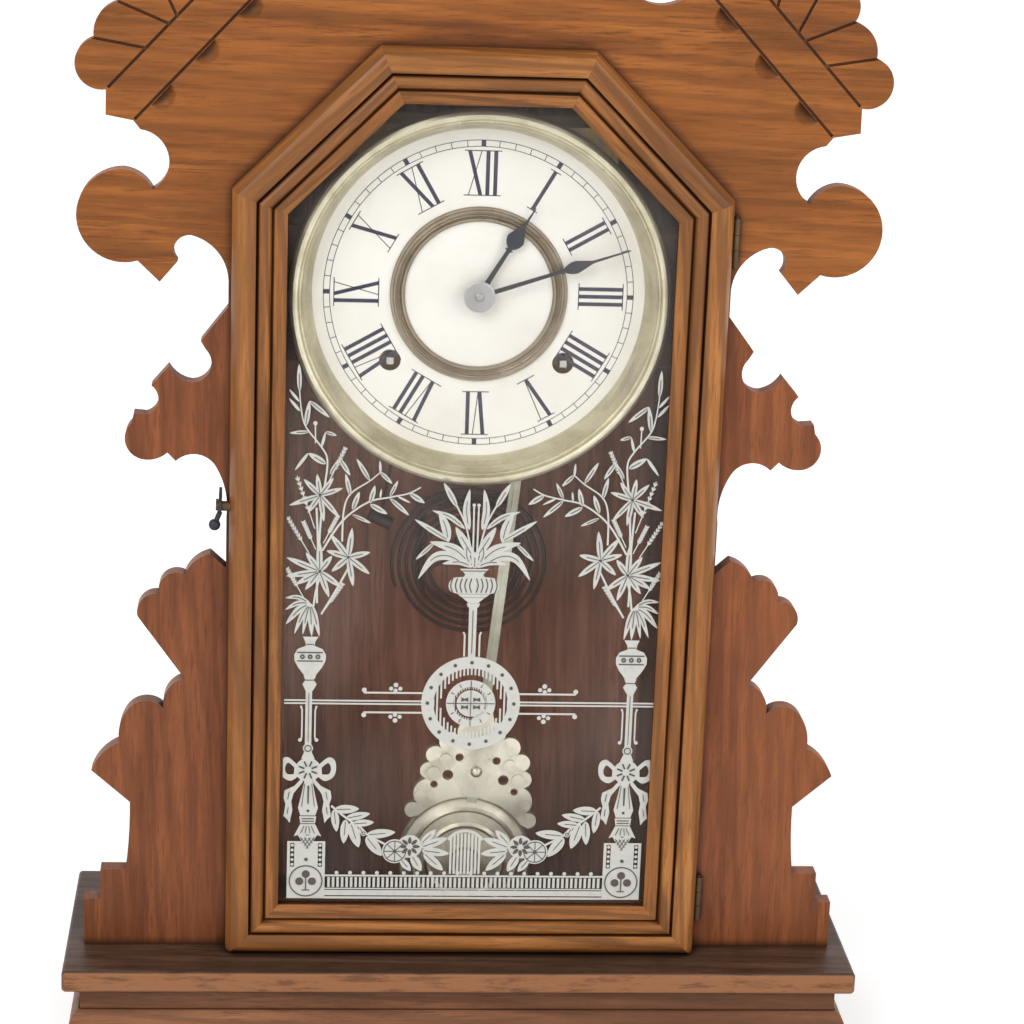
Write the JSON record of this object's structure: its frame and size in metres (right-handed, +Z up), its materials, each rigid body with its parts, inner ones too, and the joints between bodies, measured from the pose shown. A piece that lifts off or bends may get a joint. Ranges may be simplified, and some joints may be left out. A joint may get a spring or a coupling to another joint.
{
  "type": "gingerbread shelf clock",
  "caption": "Pressed-wood shelf clock with an opening octagon-topped glass door, dial, hands, geared movement, coil gong and swinging pendulum.",
  "frame": {"origin": "centre of the base's footprint, on the surface the clock stands on", "axes": "+X to the right seen from the front, +Y from the dial to the back board, +Z up"},
  "size_m": [0.376, 0.12, 0.5863],
  "materials": {
    "front_wood": "worn varnish over horizontal grain",
    "wing_wood": "worn reddish varnish over upright grain",
    "case_wood": "stained, unvarnished",
    "base_wood": "worn dark varnish",
    "door_wood": "golden varnish with dark streaks",
    "door_glass": "clear, printed ornament",
    "dull_brass": "tarnished",
    "black_iron": "blackened",
    "dial_paper": "ivory paper on tinplate",
    "pale_brass": "pale, worn plating",
    "plate_brass": "satin",
    "steel": "satin",
    "black_steel": "blued to near black"
  },
  "bodies": {
    "case": {"crown_board": "front_wood", "left_wing": "wing_wood", "right_wing": "wing_wood", "lower_rail": "front_wood", "case_left_side": "case_wood", "case_right_side": "case_wood", "case_roof": "case_wood", "back_board": "case_wood", "dial_blocks": "case_wood", "base_top": "base_wood", "base_front": "base_wood", "base_left_side": "base_wood", "base_right_side": "base_wood", "base_back": "case_wood", "base_blocks": "case_wood", "upper_case_leaf": "dull_brass", "lower_case_leaf": "dull_brass", "latch_pin": "dull_brass", "dial_pan": "dial_paper", "dial_bezel": "pale_brass", "dial_ring": "pale_brass", "front_plate": "plate_brass", "back_plate": "plate_brass", "pillars": "steel", "time_mainspring": "steel", "strike_mainspring": "steel", "gong_coil": "black_steel", "gong_block": "case_wood", "gong_post": "black_steel"},
    "door": {"door_top_rail": "door_wood", "door_left_corner_rail": "door_wood", "door_right_corner_rail": "door_wood", "door_left_stile": "door_wood", "door_right_stile": "door_wood", "door_bottom_rail": "door_wood", "door_glass": "door_glass", "glass_beads": "door_wood", "upper_door_leaf": "dull_brass", "lower_door_leaf": "dull_brass", "latch_screw": "dull_brass"},
    "latch": {"latch_hook": "black_iron"},
    "minute": {"centre_arbor": "plate_brass", "minute_hand": "black_steel"},
    "hour": {"hour_wheel": "plate_brass", "hour_hand": "black_steel"},
    "minute_wheel": {"minute_wheel": "plate_brass"},
    "third": {"third_wheel": "plate_brass"},
    "escape": {"escape_wheel": "plate_brass"},
    "second": {"second_wheel": "plate_brass"},
    "time_great": {"time_great_wheel": "plate_brass"},
    "time_arbor": {"time_winding_arbor": "steel"},
    "strike_great": {"strike_great_wheel": "plate_brass"},
    "strike_arbor": {"strike_winding_arbor": "steel"},
    "strike_second": {"strike_second_wheel": "plate_brass"},
    "fly": {"strike_fly": "plate_brass"},
    "hammer": {"hammer": "plate_brass"},
    "verge": {"verge": "steel"},
    "pendulum": {"pendulum_rod": "steel", "pendulum_ornament": "pale_brass", "pendulum_bob": "pale_brass"}
  },
  "joints": [
    {"name": "door_swing", "type": "hinge", "parent": "case", "child": "door", "pos_m": [0.1142, -0.0296, 0.2385], "axis": [0, 0, 1], "range_deg": [0, 105]},
    {"name": "latch_turn", "type": "hinge", "parent": "door", "child": "latch", "pos_m": [-0.1165, -0.034, 0.2726], "axis": [1, 0, 0], "range_deg": [-14, 15]},
    {"name": "third_turn", "type": "hinge", "parent": "case", "child": "third", "pos_m": [0.024, 0.015, 0.3878], "axis": [0, 1, 0], "continuous": true},
    {"name": "minute_turn", "type": "hinge", "parent": "case", "child": "minute", "pos_m": [0, 0.015, 0.3688], "axis": [0, 1, 0], "continuous": true},
    {"name": "hour_turn", "type": "hinge", "parent": "case", "child": "hour", "pos_m": [0, -0.001, 0.3688], "axis": [0, 1, 0], "continuous": true},
    {"name": "minute_wheel_turn", "type": "hinge", "parent": "case", "child": "minute_wheel", "pos_m": [-0.00657, 0.001, 0.35076], "axis": [0, 1, 0], "continuous": true},
    {"name": "escape_turn", "type": "hinge", "parent": "case", "child": "escape", "pos_m": [0.004, 0.01, 0.4078], "axis": [0, 1, 0], "continuous": true},
    {"name": "second_turn", "type": "hinge", "parent": "case", "child": "second", "pos_m": [0.01009, 0.02, 0.34055], "axis": [0, 1, 0], "continuous": true},
    {"name": "time_great_turn", "type": "hinge", "parent": "case", "child": "time_great", "pos_m": [0.0399, 0.009, 0.3372], "axis": [0, 1, 0], "continuous": true},
    {"name": "time_wind", "type": "hinge", "parent": "case", "child": "time_arbor", "pos_m": [0.0399, 0.02, 0.3372], "axis": [0, 1, 0], "continuous": true},
    {"name": "strike_second_turn", "type": "hinge", "parent": "case", "child": "strike_second", "pos_m": [-0.03469, 0.02, 0.36674], "axis": [0, 1, 0], "continuous": true},
    {"name": "strike_great_turn", "type": "hinge", "parent": "case", "child": "strike_great", "pos_m": [-0.0399, 0.009, 0.3372], "axis": [0, 1, 0], "continuous": true},
    {"name": "fly_turn", "type": "hinge", "parent": "case", "child": "fly", "pos_m": [-0.03798, 0.02, 0.39173], "axis": [0, 1, 0], "continuous": true},
    {"name": "strike_wind", "type": "hinge", "parent": "case", "child": "strike_arbor", "pos_m": [-0.0399, 0.02, 0.3372], "axis": [0, 1, 0], "continuous": true},
    {"name": "hammer_lift", "type": "hinge", "parent": "case", "child": "hammer", "pos_m": [-0.0311, 0.0315, 0.3088], "axis": [0, 1, 0], "range_deg": [0, 9], "stiffness_Nm_per_rad": 0.002, "springref_deg": -20.05},
    {"name": "pendulum_swing", "type": "hinge", "parent": "case", "child": "pendulum", "pos_m": [0.004, -0.0046, 0.4298], "axis": [0, 1, 0], "range_deg": [-5, 5]},
    {"name": "verge_rock", "type": "hinge", "parent": "case", "child": "verge", "pos_m": [0.004, -0.002, 0.4298], "axis": [0, 1, 0], "range_deg": [-5, 5]}
  ],
  "couplings": [
    {"joint": "minute_turn", "follows": "third_turn", "ratio": -0.125},
    {"joint": "hour_turn", "follows": "third_turn", "ratio": -0.010417},
    {"joint": "minute_wheel_turn", "follows": "third_turn", "ratio": 0.041667},
    {"joint": "escape_turn", "follows": "third_turn", "ratio": -10},
    {"joint": "second_turn", "follows": "third_turn", "ratio": 0.020833},
    {"joint": "time_great_turn", "follows": "third_turn", "ratio": -0.0032051},
    {"joint": "strike_great_turn", "follows": "strike_second_turn", "ratio": -0.15385},
    {"joint": "fly_turn", "follows": "strike_second_turn", "ratio": -6},
    {"joint": "verge_rock", "follows": "pendulum_swing", "ratio": 1}
  ]
}
